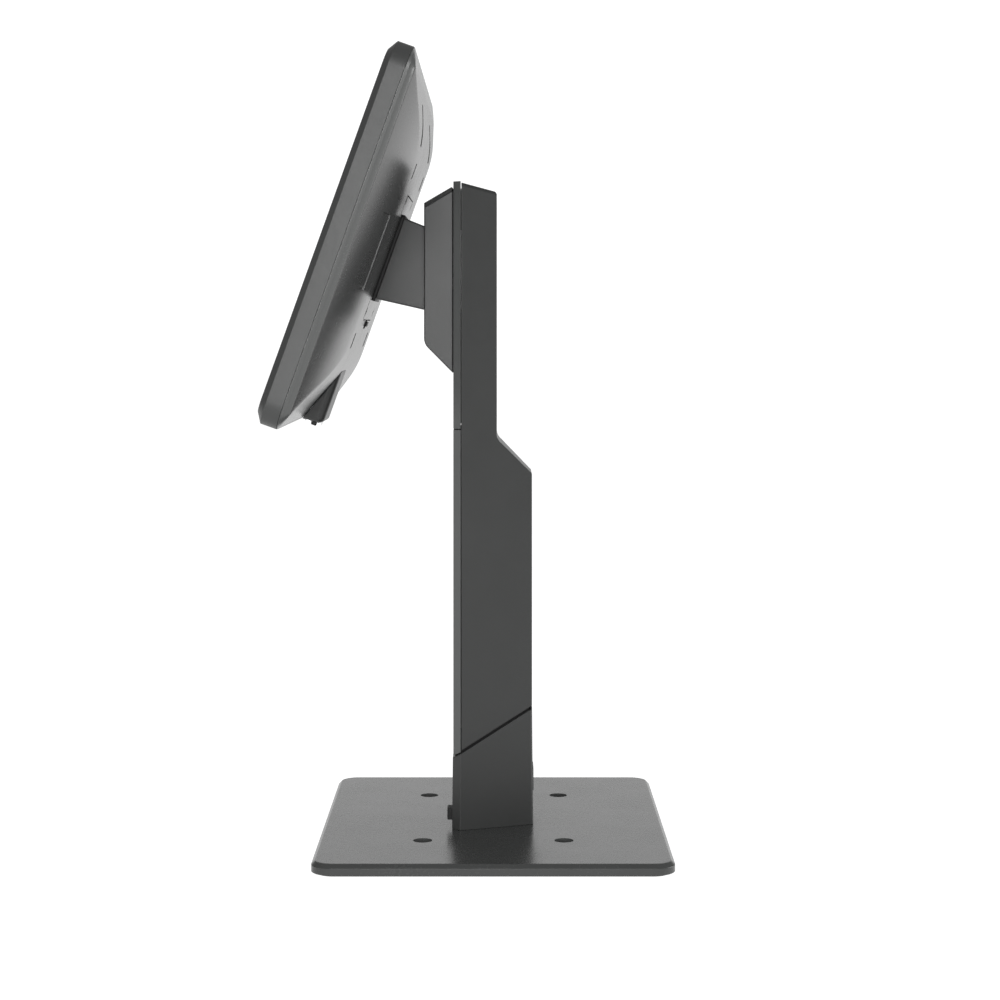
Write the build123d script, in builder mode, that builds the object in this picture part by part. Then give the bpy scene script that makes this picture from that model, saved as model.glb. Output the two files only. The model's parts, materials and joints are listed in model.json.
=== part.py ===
from build123d import *
from math import cos, sin, radians
import os

# A self-service touch terminal on a counter stand: a steel base plate, a plastic-clad steel column,
# and a wide display on a short neck that tilts in the column's head.
# Millimetres. X runs across the screen, +Y to the rear, +Z up.
# The origin is the middle of the base's underside.

# base
base_width = 350.0
base_depth = 291.0
base_thickness = 9.0
base_corner = 18.0
base_chamfer = 3.3
pad_thickness = 1.5
pad_inset = 5.0
bolt_spacing_x = 180.0
bolt_spacing_y = 117.0
bolt_hole_radius = 3.5
bolt_sink_radius = 7.75
bolt_sink_depth = 5.0
base_top = pad_thickness + base_thickness
post_y = -6.0
post_pitch_x = 48.0
post_pitch_y = 32.0

# column plan: a flat front with chamfered corners and sides that taper to a narrow back
front_y = -34.0
front_half = 48.0
corner_y = -27.7
corner_half = 53.5
rear_y = 33.0
rear_half = 29.0
taper = (corner_half - rear_half) / (rear_y - corner_y)
slim_rear_y = 2.9
wall = 2.5
seam = 0.6

# column heights
foot_split_front = 72.7
split_slope = 0.567
split_gap = 2.4
shoulder_low = 310.5
shoulder_high = 341.0
cover_split = 349.0
column_top_front = 558.4
column_top_slope = 0.245
front_cover_top = 559.4
foot_flare = 1.0

# spine and its fixings
spine_half = 30.0
spine_front = -26.0
spine_rear = -6.0
spine_wall = 2.5
flange_width = 64.0
flange_depth = 48.0
flange_height = 8.0
spine_top = 545.0

# head and tilt hinge
head_half = 46.0
head_front = -58.9
head_rear = -34.3
head_top_front = 541.2
head_top_slope = 0.585
head_knee = 421.6
head_tip = 397.0
cap_thickness = 4.0
pivot_y = -42.0
pivot_z = 484.0
shaft_radius = 4.0
running_fit = 0.05
hinge_pitch_x = 44.0
hinge_pitch_z = 50.0
hinge_eye_radius = 9.0
mouth_low = 445.5
mouth_high = 532.0

# neck
neck_half = 35.0
neck_inner_y = -48.0
neck_wall = 2.0
arm_pitch_x = 28.0
arm_pitch_up = 50.0

# display
screen_tilt = 19.8
screen_y = -125.4
screen_z = 508.6
screen_width = 498.0
screen_height = 312.0
screen_corner = 20.0
bezel_slope = 8.0
bezel_depth = 5.0
band_depth = 13.1
strip_depth = 19.8
strip_width = 6.0
back_depth = 37.0
back_flat_half = 97.0
shell = 2.5
recess_width = 112.0
recess_height = 113.0
recess_center = -1.5
recess_depth = 2.0
mount_pitch = 100.0
cover_pitch_x = 76.0
cover_pitch_up = 84.0
board_pitch_x = 156.0
board_pitch_up = 140.0

lean_sin = sin(radians(screen_tilt))
lean_cos = cos(radians(screen_tilt))
screen = Plane(
    origin=(0, screen_y, screen_z), x_dir=(1, 0, 0), z_dir=(0, -lean_cos, lean_sin)
)
# the same frame turned on edge: x runs up the screen and y out of its front
screen_side = Plane(
    origin=(0, screen_y, screen_z), x_dir=(0, lean_sin, lean_cos), z_dir=(1, 0, 0)
)
# and seen from above: x runs across the screen and y out of its front
screen_plan = Plane(
    origin=(0, screen_y, screen_z), x_dir=(1, 0, 0), z_dir=(0, -lean_sin, -lean_cos)
)


def behind(depth):
    """The plane parallel to the glass, this far behind the bezel's outer edge."""
    return screen.offset(-depth)


def screen_point(up, depth):
    """Y and Z of a point this far up the screen and this far behind the bezel's edge."""
    return (
        screen_y + depth * lean_cos + up * lean_sin,
        screen_z - depth * lean_sin + up * lean_cos,
    )


def facing_back(depth):
    """The plane at this depth that faces away from the glass, for screws driven from behind."""
    return Plane(behind(depth).origin, x_dir=(1, 0, 0), z_dir=-screen.z_dir)


def column_half(y):
    """Half the column's width at this depth."""
    return corner_half - taper * (y - corner_y)


def split_height(y):
    """Height of the slanting joint between the foot and the covers."""
    return foot_split_front + split_slope * (y - front_y)


def finish(part, name):
    part.label = name
    export_step(part, "parts/" + name + ".step")


os.makedirs("parts", exist_ok=True)

# base

with BuildPart() as base_plate:
    with BuildSketch(Plane.XY.offset(pad_thickness)):
        RectangleRounded(base_width, base_depth, base_corner)
    extrude(amount=base_thickness)
    chamfer(base_plate.faces().sort_by(Axis.Z)[-1].edges(), length=base_chamfer)
    with Locations((0, 0, base_top)):
        with GridLocations(bolt_spacing_x, bolt_spacing_y, 2, 2):
            CounterBoreHole(bolt_hole_radius, bolt_sink_radius, bolt_sink_depth)
    with Locations(Plane(origin=(0, post_y, pad_thickness), z_dir=(0, 0, -1))):
        with GridLocations(post_pitch_x, post_pitch_y, 2, 2):
            CounterSinkHole(3.3, 6.2)
finish(base_plate.part, "base_plate")

with BuildPart() as base_pad:
    with BuildSketch():
        RectangleRounded(base_width - 2 * pad_inset, base_depth - 2 * pad_inset, base_corner - pad_inset)
        with GridLocations(bolt_spacing_x, bolt_spacing_y, 2, 2):
            Circle(bolt_hole_radius + 1.5, mode=Mode.SUBTRACT)
    extrude(amount=pad_thickness)
finish(base_pad.part, "base_pad")

# four countersunk screws, from under the plate up into the spine's flange
with BuildPart() as post_screws:
    with Locations((0, post_y, pad_thickness)):
        with GridLocations(post_pitch_x, post_pitch_y, 2, 2):
            Cylinder(3, 15.5, align=(Align.CENTER, Align.CENTER, Align.MIN))
            Cone(6, 3, 3, align=(Align.CENTER, Align.CENTER, Align.MIN))
            Cylinder(2, 1.6, align=(Align.CENTER, Align.CENTER, Align.MIN), mode=Mode.SUBTRACT)
finish(post_screws.part, "post_screws")

# column

spine_middle = (spine_front + spine_rear) / 2

with BuildPart() as column_spine:
    with BuildSketch(Plane.XY.offset(base_top)):
        with Locations((0, post_y)):
            RectangleRounded(flange_width, flange_depth, 4)
            with GridLocations(post_pitch_x, post_pitch_y, 2, 2):
                Circle(3.05, mode=Mode.SUBTRACT)
    extrude(amount=flange_height)
    with BuildSketch(Plane.XY.offset(base_top + flange_height)):
        with Locations((0, spine_middle)):
            RectangleRounded(2 * spine_half, spine_rear - spine_front, 3)
            Rectangle(
                2 * (spine_half - spine_wall),
                spine_rear - spine_front - 2 * spine_wall,
                mode=Mode.SUBTRACT,
            )
    extrude(amount=spine_top - base_top - flange_height)
    # tapped holes for the hinge bracket
    with Locations(Plane(origin=(0, spine_front, pivot_z), x_dir=(1, 0, 0), z_dir=(0, -1, 0))):
        with GridLocations(hinge_pitch_x, hinge_pitch_z, 2, 2):
            Cylinder(2.55, 3 * spine_wall, mode=Mode.SUBTRACT)
finish(column_spine.part, "column_spine")


def column_plan(grow):
    """The column's six-sided plan, grown outward by this much."""
    lean = grow * 0.45
    return [
        (-front_half - lean, front_y - grow),
        (front_half + lean, front_y - grow),
        (corner_half + grow, corner_y - lean),
        (rear_half + grow, rear_y + grow),
        (-rear_half - grow, rear_y + grow),
        (-corner_half - grow, corner_y - lean),
    ]


foot_reach = 125.0

with BuildPart() as foot_hollow:
    with BuildSketch(Plane.XY.offset(base_top)):
        Polygon(*column_plan(foot_flare - wall), align=None)
    with BuildSketch(Plane.XY.offset(foot_reach)):
        Polygon(*column_plan(-wall), align=None)
    loft()

latch_x = 40.0
latch_z = 23.0
latch_width = 12.0
latch_height = 10.1
latch_front = -39.1
inlet_z = 46.0

with BuildPart() as foot_shell:
    with BuildSketch(Plane.XY.offset(base_top)):
        Polygon(*column_plan(foot_flare), align=None)
    with BuildSketch(Plane.XY.offset(foot_reach)):
        Polygon(*column_plan(0), align=None)
    loft()
    fillet(foot_shell.edges().filter_by(lambda e: e.length > 100).group_by(Axis.Y)[-1], 3)
    add(foot_hollow.part, mode=Mode.SUBTRACT)
    with BuildSketch(Plane.YZ.offset(-70)):
        Polygon(
            (front_y - 9, split_height(front_y - 9) - split_gap / 2),
            (rear_y + 9, split_height(rear_y + 9) - split_gap / 2),
            (rear_y + 9, 140),
            (front_y - 9, 140),
            align=None,
        )
    extrude(amount=140, mode=Mode.SUBTRACT)
    # the latch's window at the front and the inlet's at the back
    with Locations((latch_x, front_y, latch_z)):
        Box(latch_width + 0.8, 12, latch_height + 0.8, mode=Mode.SUBTRACT)
    with Locations((0, rear_y, inlet_z)):
        Box(28.4, 12, 20.4, mode=Mode.SUBTRACT)
finish(foot_shell.part, "foot_shell")

# a push latch in the foot's front: its tab stands out of a window, and a flange behind keeps it in
with BuildPart() as foot_latch:
    with Locations((latch_x, latch_front, latch_z)):
        Box(latch_width, 7.6, latch_height, align=(Align.CENTER, Align.MIN, Align.CENTER))
        fillet(foot_latch.faces().sort_by(Axis.Y)[0].edges(), 0.8)
    with Locations((latch_x, latch_front + 7.6, latch_z)):
        Box(latch_width + 2.5, 2, latch_height + 4, align=(Align.CENTER, Align.MIN, Align.CENTER))
finish(foot_latch.part, "foot_latch")


def side_outline(inset):
    """The rear cover's outline seen from the side, drawn inward by this much."""
    rear = rear_y - inset
    slim = slim_rear_y - inset
    run = shoulder_high - shoulder_low
    top = column_top_front - inset
    low = split_height(rear) + split_gap / 2 - (20 if inset else 0)
    lead = corner_y + seam - (9 if inset else 0)
    return [
        (lead, split_height(lead) + split_gap / 2 - (20 if inset else 0)),
        (rear, low),
        (rear, shoulder_low - inset * 0.42),
        (slim, shoulder_low - inset * 0.42 + run),
        (slim, top - column_top_slope * (slim - lead)),
        (lead, top),
    ]


# the plane that the rear cover's two screw heads seat on, 1.2 mm below its back, facing forward
rear_screw_seat = Plane(origin=(0, rear_y - 1.2, 0), x_dir=(1, 0, 0), z_dir=(0, -1, 0))

with BuildPart() as cover_hollow:
    with BuildSketch():
        Polygon(
            (-column_half(-40) + wall, -40),
            (column_half(-40) - wall, -40),
            (rear_half - wall, rear_y),
            (-rear_half + wall, rear_y),
            align=None,
        )
    extrude(amount=600)
    with BuildSketch(Plane.YZ.offset(-70)):
        Polygon(*side_outline(wall), align=None)
    extrude(amount=140, mode=Mode.INTERSECT)

with BuildPart() as rear_cover:
    with BuildSketch():
        Polygon(
            (-column_half(corner_y + seam), corner_y + seam),
            (column_half(corner_y + seam), corner_y + seam),
            (rear_half, rear_y),
            (-rear_half, rear_y),
            align=None,
        )
    extrude(amount=600)
    with BuildSketch(Plane.YZ.offset(-70)):
        Polygon(*side_outline(0), align=None)
    extrude(amount=140, mode=Mode.INTERSECT)
    inner_elbow = rear_cover.edges().filter_by(Axis.X).sort_by_distance((0, slim_rear_y, shoulder_high))[0]
    outer_elbow = rear_cover.edges().filter_by(Axis.X).sort_by_distance((0, rear_y, shoulder_low))[0]
    fillet(inner_elbow, 9)
    fillet(outer_elbow, 2)
    fillet(rear_cover.faces().sort_by(Axis.Z)[-1].edges().sort_by(Axis.Y)[1:], 3.5)
    add(cover_hollow.part, mode=Mode.SUBTRACT)
    with Locations(rear_screw_seat):
        with Locations((0, 126), (0, 246)):
            Cylinder(1.8, 20, mode=Mode.SUBTRACT)
            Cylinder(3.4, 6, align=(Align.CENTER, Align.CENTER, Align.MAX), mode=Mode.SUBTRACT)
finish(rear_cover.part, "rear_cover")

# countersunk into the rear cover, they reach the supply bracket's tabs
with BuildPart() as rear_cover_screws:
    with Locations(rear_screw_seat):
        with Locations((0, 126), (0, 246)):
            Cylinder(1.7, 5.4, align=(Align.CENTER, Align.CENTER, Align.MIN))
            Cylinder(3.2, 1.0, align=(Align.CENTER, Align.CENTER, Align.MAX))
            Cylinder(1.2, 0.7, align=(Align.CENTER, Align.CENTER, Align.MAX), mode=Mode.SUBTRACT)
finish(rear_cover_screws.part, "rear_cover_screws")


def cover_section():
    """Plan of the front cover: a thin face with chamfered corners."""
    corner = corner_half
    return [
        (-corner, corner_y),
        (-front_half, front_y),
        (front_half, front_y),
        (corner, corner_y),
        (corner - 3, corner_y),
        (front_half - 1.1, front_y + wall),
        (-front_half + 1.1, front_y + wall),
        (-corner + 3, corner_y),
    ]


with BuildPart() as front_cover_lower:
    with BuildSketch():
        Polygon(*cover_section(), align=None)
    extrude(amount=cover_split)
    with BuildSketch(Plane.YZ.offset(-70)):
        Polygon(
            (front_y - 9, split_height(front_y - 9) + 0.2),
            (corner_y + 9, split_height(corner_y + 9) + 0.2),
            (corner_y + 9, -9),
            (front_y - 9, -9),
            align=None,
        )
    extrude(amount=140, mode=Mode.SUBTRACT)
finish(front_cover_lower.part, "front_cover_lower")

with BuildPart() as front_cover_upper:
    with BuildSketch(Plane.XY.offset(cover_split + 0.9)):
        Polygon(*cover_section(), align=None)
    extrude(amount=front_cover_top - cover_split - 0.9)
    with BuildSketch(Plane.XY.offset(front_cover_top)):
        Polygon(
            (-corner_half, corner_y),
            (-front_half, front_y),
            (front_half, front_y),
            (corner_half, corner_y),
            align=None,
        )
    extrude(amount=-2.0)
    # window for the hinge bracket
    with Locations((0, front_y, pivot_z)):
        Box(62, 20, 76, mode=Mode.SUBTRACT)
finish(front_cover_upper.part, "front_cover_upper")

# power supply in the column's deep lower half

with BuildPart() as supply_bracket:
    with BuildSketch(Plane.YZ.offset(-26)):
        Polygon(
            (spine_rear, 115),
            (28.8, 115),
            (28.8, 136),
            (26.8, 136),
            (26.8, 117),
            (spine_rear + 2, 117),
            (spine_rear + 2, 255),
            (26.8, 255),
            (26.8, 236),
            (28.8, 236),
            (28.8, 257),
            (spine_rear, 257),
            align=None,
        )
    extrude(amount=52)
    with Locations(rear_screw_seat):
        with Locations((0, 126), (0, 246)):
            Cylinder(1.75, 14, mode=Mode.SUBTRACT)
    with Locations((0, 8, 116), (0, 10, 256)):
        Cylinder(5, 6, mode=Mode.SUBTRACT)
finish(supply_bracket.part, "supply_bracket")

with BuildPart() as power_supply:
    with Locations((0, 10, 121)):
        Box(50, 27, 118, align=(Align.CENTER, Align.CENTER, Align.MIN))
    fillet(power_supply.edges(), 3)
finish(power_supply.part, "power_supply")

with BuildPart() as mains_inlet:
    with Locations((0, rear_y - 18, inlet_z)):
        Box(28, 19.5, 20, align=(Align.CENTER, Align.MIN, Align.CENTER))
    fillet(mains_inlet.edges().filter_by(Axis.Y), 1.5)
    with BuildSketch(Plane(origin=(0, rear_y + 1.5, inlet_z), x_dir=(1, 0, 0), z_dir=(0, -1, 0))):
        RectangleRounded(23, 15.5, 2)
    extrude(amount=14, mode=Mode.SUBTRACT)
finish(mains_inlet.part, "mains_inlet")

with BuildPart() as inlet_contacts:
    with Locations((-6.5, 20.5, inlet_z - 2), (6.5, 20.5, inlet_z - 2), (0, 20.5, inlet_z + 3)):
        Box(2, 10.5, 4, align=(Align.CENTER, Align.MIN, Align.CENTER))
finish(inlet_contacts.part, "inlet_contacts")

with BuildPart() as inlet_lead:
    with BuildLine():
        FilletPolyline(
            (0, rear_y - 18, inlet_z), (0, 6, inlet_z), (0, 6, 121), radius=8
        )
    with BuildSketch(Plane(origin=(0, rear_y - 18, inlet_z), z_dir=(0, -1, 0))):
        Circle(3)
    sweep()
finish(inlet_lead.part, "inlet_lead")

supply_lead_top = 520.0

with BuildPart() as supply_lead:
    with BuildLine():
        FilletPolyline(
            (0, 10, 239), (0, 10, 276), (0, -2.8, 310), (0, -2.8, supply_lead_top), radius=30
        )
    with BuildSketch(Plane.XY.offset(239)):
        with Locations((0, 10)):
            Circle(2)
    sweep()
finish(supply_lead.part, "supply_lead")

with BuildPart() as lead_connector:
    with Locations((0, -2.8, supply_lead_top)):
        Box(11, 5.4, 20, align=(Align.CENTER, Align.CENTER, Align.MIN))
    fillet(lead_connector.edges().filter_by(Axis.Z), 1)
finish(lead_connector.part, "lead_connector")

# head


def head_outline(inset):
    """The head's outline seen from the side, drawn inward by this much."""
    back = head_rear + (5 if inset else 0)
    front = head_front + inset
    top = head_top_front - cap_thickness - inset * 1.16
    return [
        (back, top + head_top_slope * (back - head_front)),
        (front, top + head_top_slope * inset),
        (front, head_knee + inset * 0.42),
        (back, head_tip + inset * 1.4 - (back - head_rear)),
    ]


with BuildPart() as head_hollow:
    with BuildSketch(Plane.YZ.offset(-head_half + wall)):
        Polygon(*head_outline(wall), align=None)
    extrude(amount=2 * (head_half - wall))

with BuildPart() as head_shell:
    with BuildSketch(Plane.YZ.offset(-head_half)):
        Polygon(*head_outline(0), align=None)
    extrude(amount=2 * head_half)
    fillet(head_shell.edges().filter_by(Axis.X).sort_by_distance((0, head_front, head_knee))[0], 12)
    fillet(head_shell.edges().filter_by(Axis.Z), 1.2)
    add(head_hollow.part, mode=Mode.SUBTRACT)
    with Locations((0, head_front, (mouth_low + mouth_high) / 2)):
        Box(2 * neck_half + 3, 12, mouth_high - mouth_low, mode=Mode.SUBTRACT)
finish(head_shell.part, "head_shell")

with BuildPart() as head_cap:
    with BuildSketch(Plane.YZ.offset(-head_half)):
        Polygon(
            (head_rear, head_top_front - cap_thickness + head_top_slope * (head_rear - head_front)),
            (head_front, head_top_front - cap_thickness),
            (head_front, head_top_front),
            (head_rear, head_top_front + head_top_slope * (head_rear - head_front)),
            align=None,
        )
    extrude(amount=2 * head_half)
    fillet(head_cap.edges().filter_by(Axis.Z).group_by(Axis.Y)[0], 1.2)
    chamfer(head_cap.faces().sort_by(Axis.Z)[-1].edges().sort_by(Axis.Y)[:-1], length=1.6)
finish(head_cap.part, "head_cap")

hinge_face = Plane(origin=(0, spine_front, pivot_z), x_dir=(1, 0, 0), z_dir=(0, -1, 0))

with BuildPart() as hinge_bracket:
    with BuildSketch(hinge_face):
        RectangleRounded(60, 70, 4)
        with GridLocations(hinge_pitch_x, hinge_pitch_z, 2, 2):
            Circle(2.7, mode=Mode.SUBTRACT)
    extrude(amount=4)
    with BuildSketch(Plane.YZ.offset(16), Plane.YZ.offset(-20)):
        Polygon(
            (spine_front - 4, pivot_z - 20),
            (spine_front - 4, pivot_z + 20),
            (pivot_y, pivot_z + 9),
            (pivot_y, pivot_z - 9),
            align=None,
        )
        with Locations((pivot_y, pivot_z)):
            Circle(hinge_eye_radius)
            Circle(shaft_radius + running_fit, mode=Mode.SUBTRACT)
    extrude(amount=4)
finish(hinge_bracket.part, "hinge_bracket")

with BuildPart() as hinge_screws:
    with Locations(hinge_face.offset(4)):
        with GridLocations(hinge_pitch_x, hinge_pitch_z, 2, 2):
            Cylinder(4.2, 2.4, align=(Align.CENTER, Align.CENTER, Align.MIN))
            Cylinder(2.5, 8, align=(Align.CENTER, Align.CENTER, Align.MAX))
            Cylinder(1.5, 1.4, align=(Align.CENTER, Align.CENTER, Align.MAX), mode=Mode.SUBTRACT)
finish(hinge_screws.part, "hinge_screws")

across = Plane(origin=(0, pivot_y, pivot_z), x_dir=(0, 1, 0), z_dir=(1, 0, 0))

with BuildPart() as tilt_shaft:
    with BuildSketch(across.offset(-30.5)):
        Circle(shaft_radius)
    extrude(amount=61)
    chamfer(tilt_shaft.edges().filter_by(GeomType.CIRCLE), length=0.6)
finish(tilt_shaft.part, "tilt_shaft")

with BuildPart() as friction_washers:
    with BuildSketch(across.offset(20), across.offset(-20.7)):
        Circle(8.5)
        Circle(shaft_radius + running_fit, mode=Mode.SUBTRACT)
    extrude(amount=0.7)
finish(friction_washers.part, "friction_washers")

with BuildPart() as hinge_nuts:
    with BuildSketch(across.offset(25.5), across.offset(-29.5)):
        RegularPolygon(6.8, 6)
        Circle(shaft_radius + running_fit, mode=Mode.SUBTRACT)
    extrude(amount=4)
finish(hinge_nuts.part, "hinge_nuts")

# neck, which turns with the display

arm_depth = back_depth
arm_thickness = 2.6
neck_face = arm_depth + arm_thickness + 0.2
neck_top_up = 36.0
neck_low_up = -37.3
bush_radius = 6.0

with BuildPart() as neck_arm:
    with BuildSketch(behind(arm_depth + arm_thickness)):
        with Locations((0, (neck_top_up + neck_low_up) / 2)):
            RectangleRounded(66, 78, 3)
        with GridLocations(arm_pitch_x, arm_pitch_up, 2, 2):
            Circle(2.6, mode=Mode.SUBTRACT)
    extrude(amount=arm_thickness)
    with BuildSketch(Plane.YZ.offset(21), Plane.YZ.offset(-25)):
        Polygon(
            screen_point(26, arm_depth + 1),
            screen_point(-26, arm_depth + 1),
            (pivot_y, pivot_z - 9),
            (pivot_y, pivot_z + 9),
            align=None,
        )
        with Locations((pivot_y, pivot_z)):
            Circle(hinge_eye_radius)
            Circle(bush_radius + 0.02, mode=Mode.SUBTRACT)
    extrude(amount=4)
finish(neck_arm.part, "neck_arm")

with BuildPart() as tilt_bushes:
    with BuildSketch(across.offset(21), across.offset(-25)):
        Circle(bush_radius)
        Circle(shaft_radius + running_fit, mode=Mode.SUBTRACT)
    extrude(amount=4)
finish(tilt_bushes.part, "tilt_bushes")

neck_top_slope = -0.403
neck_low_slope = -0.227


def neck_outline(inset, extend):
    """The neck cover's outline from the side; extend lengthens it past both open ends."""
    top = screen_point(neck_top_up - inset, neck_face - extend)
    low = screen_point(neck_low_up + inset, neck_face - extend)
    inner = neck_inner_y + extend
    top_start = screen_point(neck_top_up - inset, neck_face)
    low_start = screen_point(neck_low_up + inset, neck_face)
    return [
        top,
        (inner, top_start[1] + neck_top_slope * (inner - top_start[0])),
        (inner, low_start[1] + neck_low_slope * (inner - low_start[0])),
        low,
    ]


with BuildPart() as neck_hollow:
    with BuildSketch(Plane.YZ.offset(-neck_half + neck_wall)):
        Polygon(*neck_outline(neck_wall, 4), align=None)
    extrude(amount=2 * (neck_half - neck_wall))

with BuildPart() as neck_cover:
    with BuildSketch(Plane.YZ.offset(-neck_half)):
        Polygon(*neck_outline(0, 0), align=None)
    extrude(amount=2 * neck_half)
    long_edges = neck_cover.edges().filter_by(lambda e: e.length > 20 and abs(e.center().X) > 30)
    fillet(long_edges.group_by(Axis.Z)[-1] + long_edges.group_by(Axis.Z)[0], 1.5)
    add(neck_hollow.part, mode=Mode.SUBTRACT)
finish(neck_cover.part, "neck_cover")

with BuildPart() as mount_plate:
    with BuildSketch(behind(back_depth)):
        with Locations((0, recess_center)):
            RectangleRounded(recess_width - 2, recess_height - 2, 4)
        with GridLocations(arm_pitch_x, arm_pitch_up, 2, 2):
            Circle(2.05, mode=Mode.SUBTRACT)
    extrude(amount=recess_depth)
    with Locations(facing_back(back_depth)):
        with GridLocations(mount_pitch, mount_pitch, 2, 2):
            CounterSinkHole(2.3, 3.9, counter_sink_angle=90)
finish(mount_plate.part, "mount_plate")

with BuildPart() as mount_screws:
    with Locations(facing_back(back_depth - 0.1)):
        with GridLocations(mount_pitch, mount_pitch, 2, 2):
            Cylinder(2, 12, align=(Align.CENTER, Align.CENTER, Align.MAX))
            Cone(2, 3.6, 1.6, align=(Align.CENTER, Align.CENTER, Align.MAX))
            Cylinder(1.3, 1.2, align=(Align.CENTER, Align.CENTER, Align.MAX), mode=Mode.SUBTRACT)
finish(mount_screws.part, "mount_screws")

with BuildPart() as arm_screws:
    with Locations(facing_back(arm_depth + arm_thickness)):
        with GridLocations(arm_pitch_x, arm_pitch_up, 2, 2):
            Cylinder(4, 2.2, align=(Align.CENTER, Align.CENTER, Align.MIN))
            Cylinder(2, 4.4, align=(Align.CENTER, Align.CENTER, Align.MAX))
finish(arm_screws.part, "arm_screws")

# display

with BuildPart() as front_bezel:
    with BuildSketch(behind(band_depth)):
        RectangleRounded(screen_width, screen_height, screen_corner)
    extrude(amount=band_depth)
    with BuildSketch(behind(0)):
        RectangleRounded(screen_width, screen_height, screen_corner)
    with BuildSketch(behind(-bezel_depth)):
        RectangleRounded(
            screen_width - 2 * bezel_slope, screen_height - 2 * bezel_slope, screen_corner - bezel_slope
        )
    loft()
    with BuildSketch(behind(band_depth)):
        RectangleRounded(screen_width - 6, screen_height - 6, screen_corner - 3)
    extrude(amount=band_depth + 0.5, mode=Mode.SUBTRACT)
    with BuildSketch(behind(-bezel_depth)):
        RectangleRounded(screen_width - 18, screen_height - 18, 11)
    extrude(amount=-2.5, mode=Mode.SUBTRACT)
    with BuildSketch(behind(0)):
        RectangleRounded(screen_width - 30, screen_height - 30, 8)
    extrude(amount=bezel_depth, mode=Mode.SUBTRACT)
finish(front_bezel.part, "front_bezel")

with BuildPart() as touch_glass:
    with BuildSketch(behind(-bezel_depth + 2.1)):
        RectangleRounded(screen_width - 18.6, screen_height - 18.6, 10.7)
    extrude(amount=2.1)
finish(touch_glass.part, "touch_glass")

with BuildPart() as glass_gasket:
    with BuildSketch(behind(-bezel_depth + 2.5)):
        RectangleRounded(screen_width - 19, screen_height - 19, 10.5)
        RectangleRounded(screen_width - 29, screen_height - 29, 8, mode=Mode.SUBTRACT)
    extrude(amount=0.4)
finish(glass_gasket.part, "glass_gasket")

with BuildPart() as lcd_panel:
    with BuildSketch(behind(6.6)):
        Rectangle(484, 292)
    extrude(amount=6.8)
finish(lcd_panel.part, "lcd_panel")

frame_depth = 8.0
pillar_top = back_depth - recess_depth - shell

with BuildPart() as mid_frame:
    with BuildSketch(behind(frame_depth)):
        RectangleRounded(488, 300, 14)
    extrude(amount=1.2)
    with BuildSketch(behind(pillar_top)):
        with GridLocations(mount_pitch, mount_pitch, 2, 2):
            Circle(5)
        with GridLocations(cover_pitch_x, cover_pitch_up, 2, 2):
            Circle(3.5)
    extrude(amount=pillar_top - frame_depth)
    with Locations(facing_back(pillar_top)):
        with GridLocations(mount_pitch, mount_pitch, 2, 2):
            Hole(2.05, depth=10)
        with GridLocations(cover_pitch_x, cover_pitch_up, 2, 2):
            Hole(1.55, depth=8)
finish(mid_frame.part, "mid_frame")

board_depth = 15.6

with BuildPart() as board_standoffs:
    with BuildSketch(behind(board_depth - 1.6)):
        with GridLocations(board_pitch_x, board_pitch_up, 2, 2):
            Circle(3)
            Circle(1.2, mode=Mode.SUBTRACT)
    extrude(amount=board_depth - 1.6 - frame_depth)
finish(board_standoffs.part, "board_standoffs")

# the board and what is soldered to it, with clear holes for the frame's pillars
with BuildPart() as main_board:
    with BuildSketch(behind(board_depth)):
        Rectangle(170, 156)
        with GridLocations(mount_pitch, mount_pitch, 2, 2):
            Circle(6, mode=Mode.SUBTRACT)
        with GridLocations(cover_pitch_x, cover_pitch_up, 2, 2):
            Circle(4.5, mode=Mode.SUBTRACT)
        with GridLocations(board_pitch_x, board_pitch_up, 2, 2):
            Circle(1.3, mode=Mode.SUBTRACT)
    extrude(amount=1.6)
    with BuildSketch(behind(board_depth + 2)):
        Rectangle(28, 28)
        with Locations((-68, 20), (-68, -10), (68, 26)):
            Rectangle(14, 14)
        with Locations((68, -6), (68, -26)):
            Rectangle(20, 8)
    extrude(amount=2)
    with BuildSketch(behind(board_depth + 8)):
        with Locations((-72, 48), (-60, 60), (64, 60)):
            Circle(4)
    extrude(amount=8)
finish(main_board.part, "main_board")

with BuildPart() as heat_sink:
    with BuildSketch(behind(board_depth + 5)):
        Rectangle(60, 60)
    extrude(amount=3)
    with BuildSketch(behind(board_depth + 15)):
        with GridLocations(5.3, 0, 12, 1):
            Rectangle(1.2, 60)
    extrude(amount=10)
finish(heat_sink.part, "heat_sink")

with BuildPart() as memory_module:
    with BuildSketch(behind(board_depth + 4.5)):
        with Locations((0, -58)):
            Rectangle(67.6, 26)
    extrude(amount=4.5)
finish(memory_module.part, "memory_module")

with BuildPart() as storage_drive:
    with BuildSketch(behind(board_depth + 3.5)):
        with Locations((0, 60)):
            Rectangle(80, 22)
    extrude(amount=3.5)
finish(storage_drive.part, "storage_drive")

with BuildPart() as touch_controller:
    with BuildSketch(behind(frame_depth + 3)):
        with Locations((-150, -70)):
            Rectangle(60, 24)
    extrude(amount=3)
finish(touch_controller.part, "touch_controller")

for side, name in ((-1, "speaker_left"), (1, "speaker_right")):
    with BuildPart() as speaker:
        with BuildSketch(behind(frame_depth + 11)):
            with Locations((side * 170, -112)):
                RectangleRounded(70, 22, 4)
        extrude(amount=11)
    finish(speaker.part, name)

# The back cover is where two outlines meet: a gentle arch from side to side, and a flat with
# rounded shoulders and straight slopes from top to bottom. The ridges between them run to the corners.
cover_face = band_depth + 0.3
slope_end = 151.0
slope_end_depth = 16.2
shoulder_up = 97.0
shoulder_radius = 107.0
arch_end = screen_width / 2 - strip_width


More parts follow.
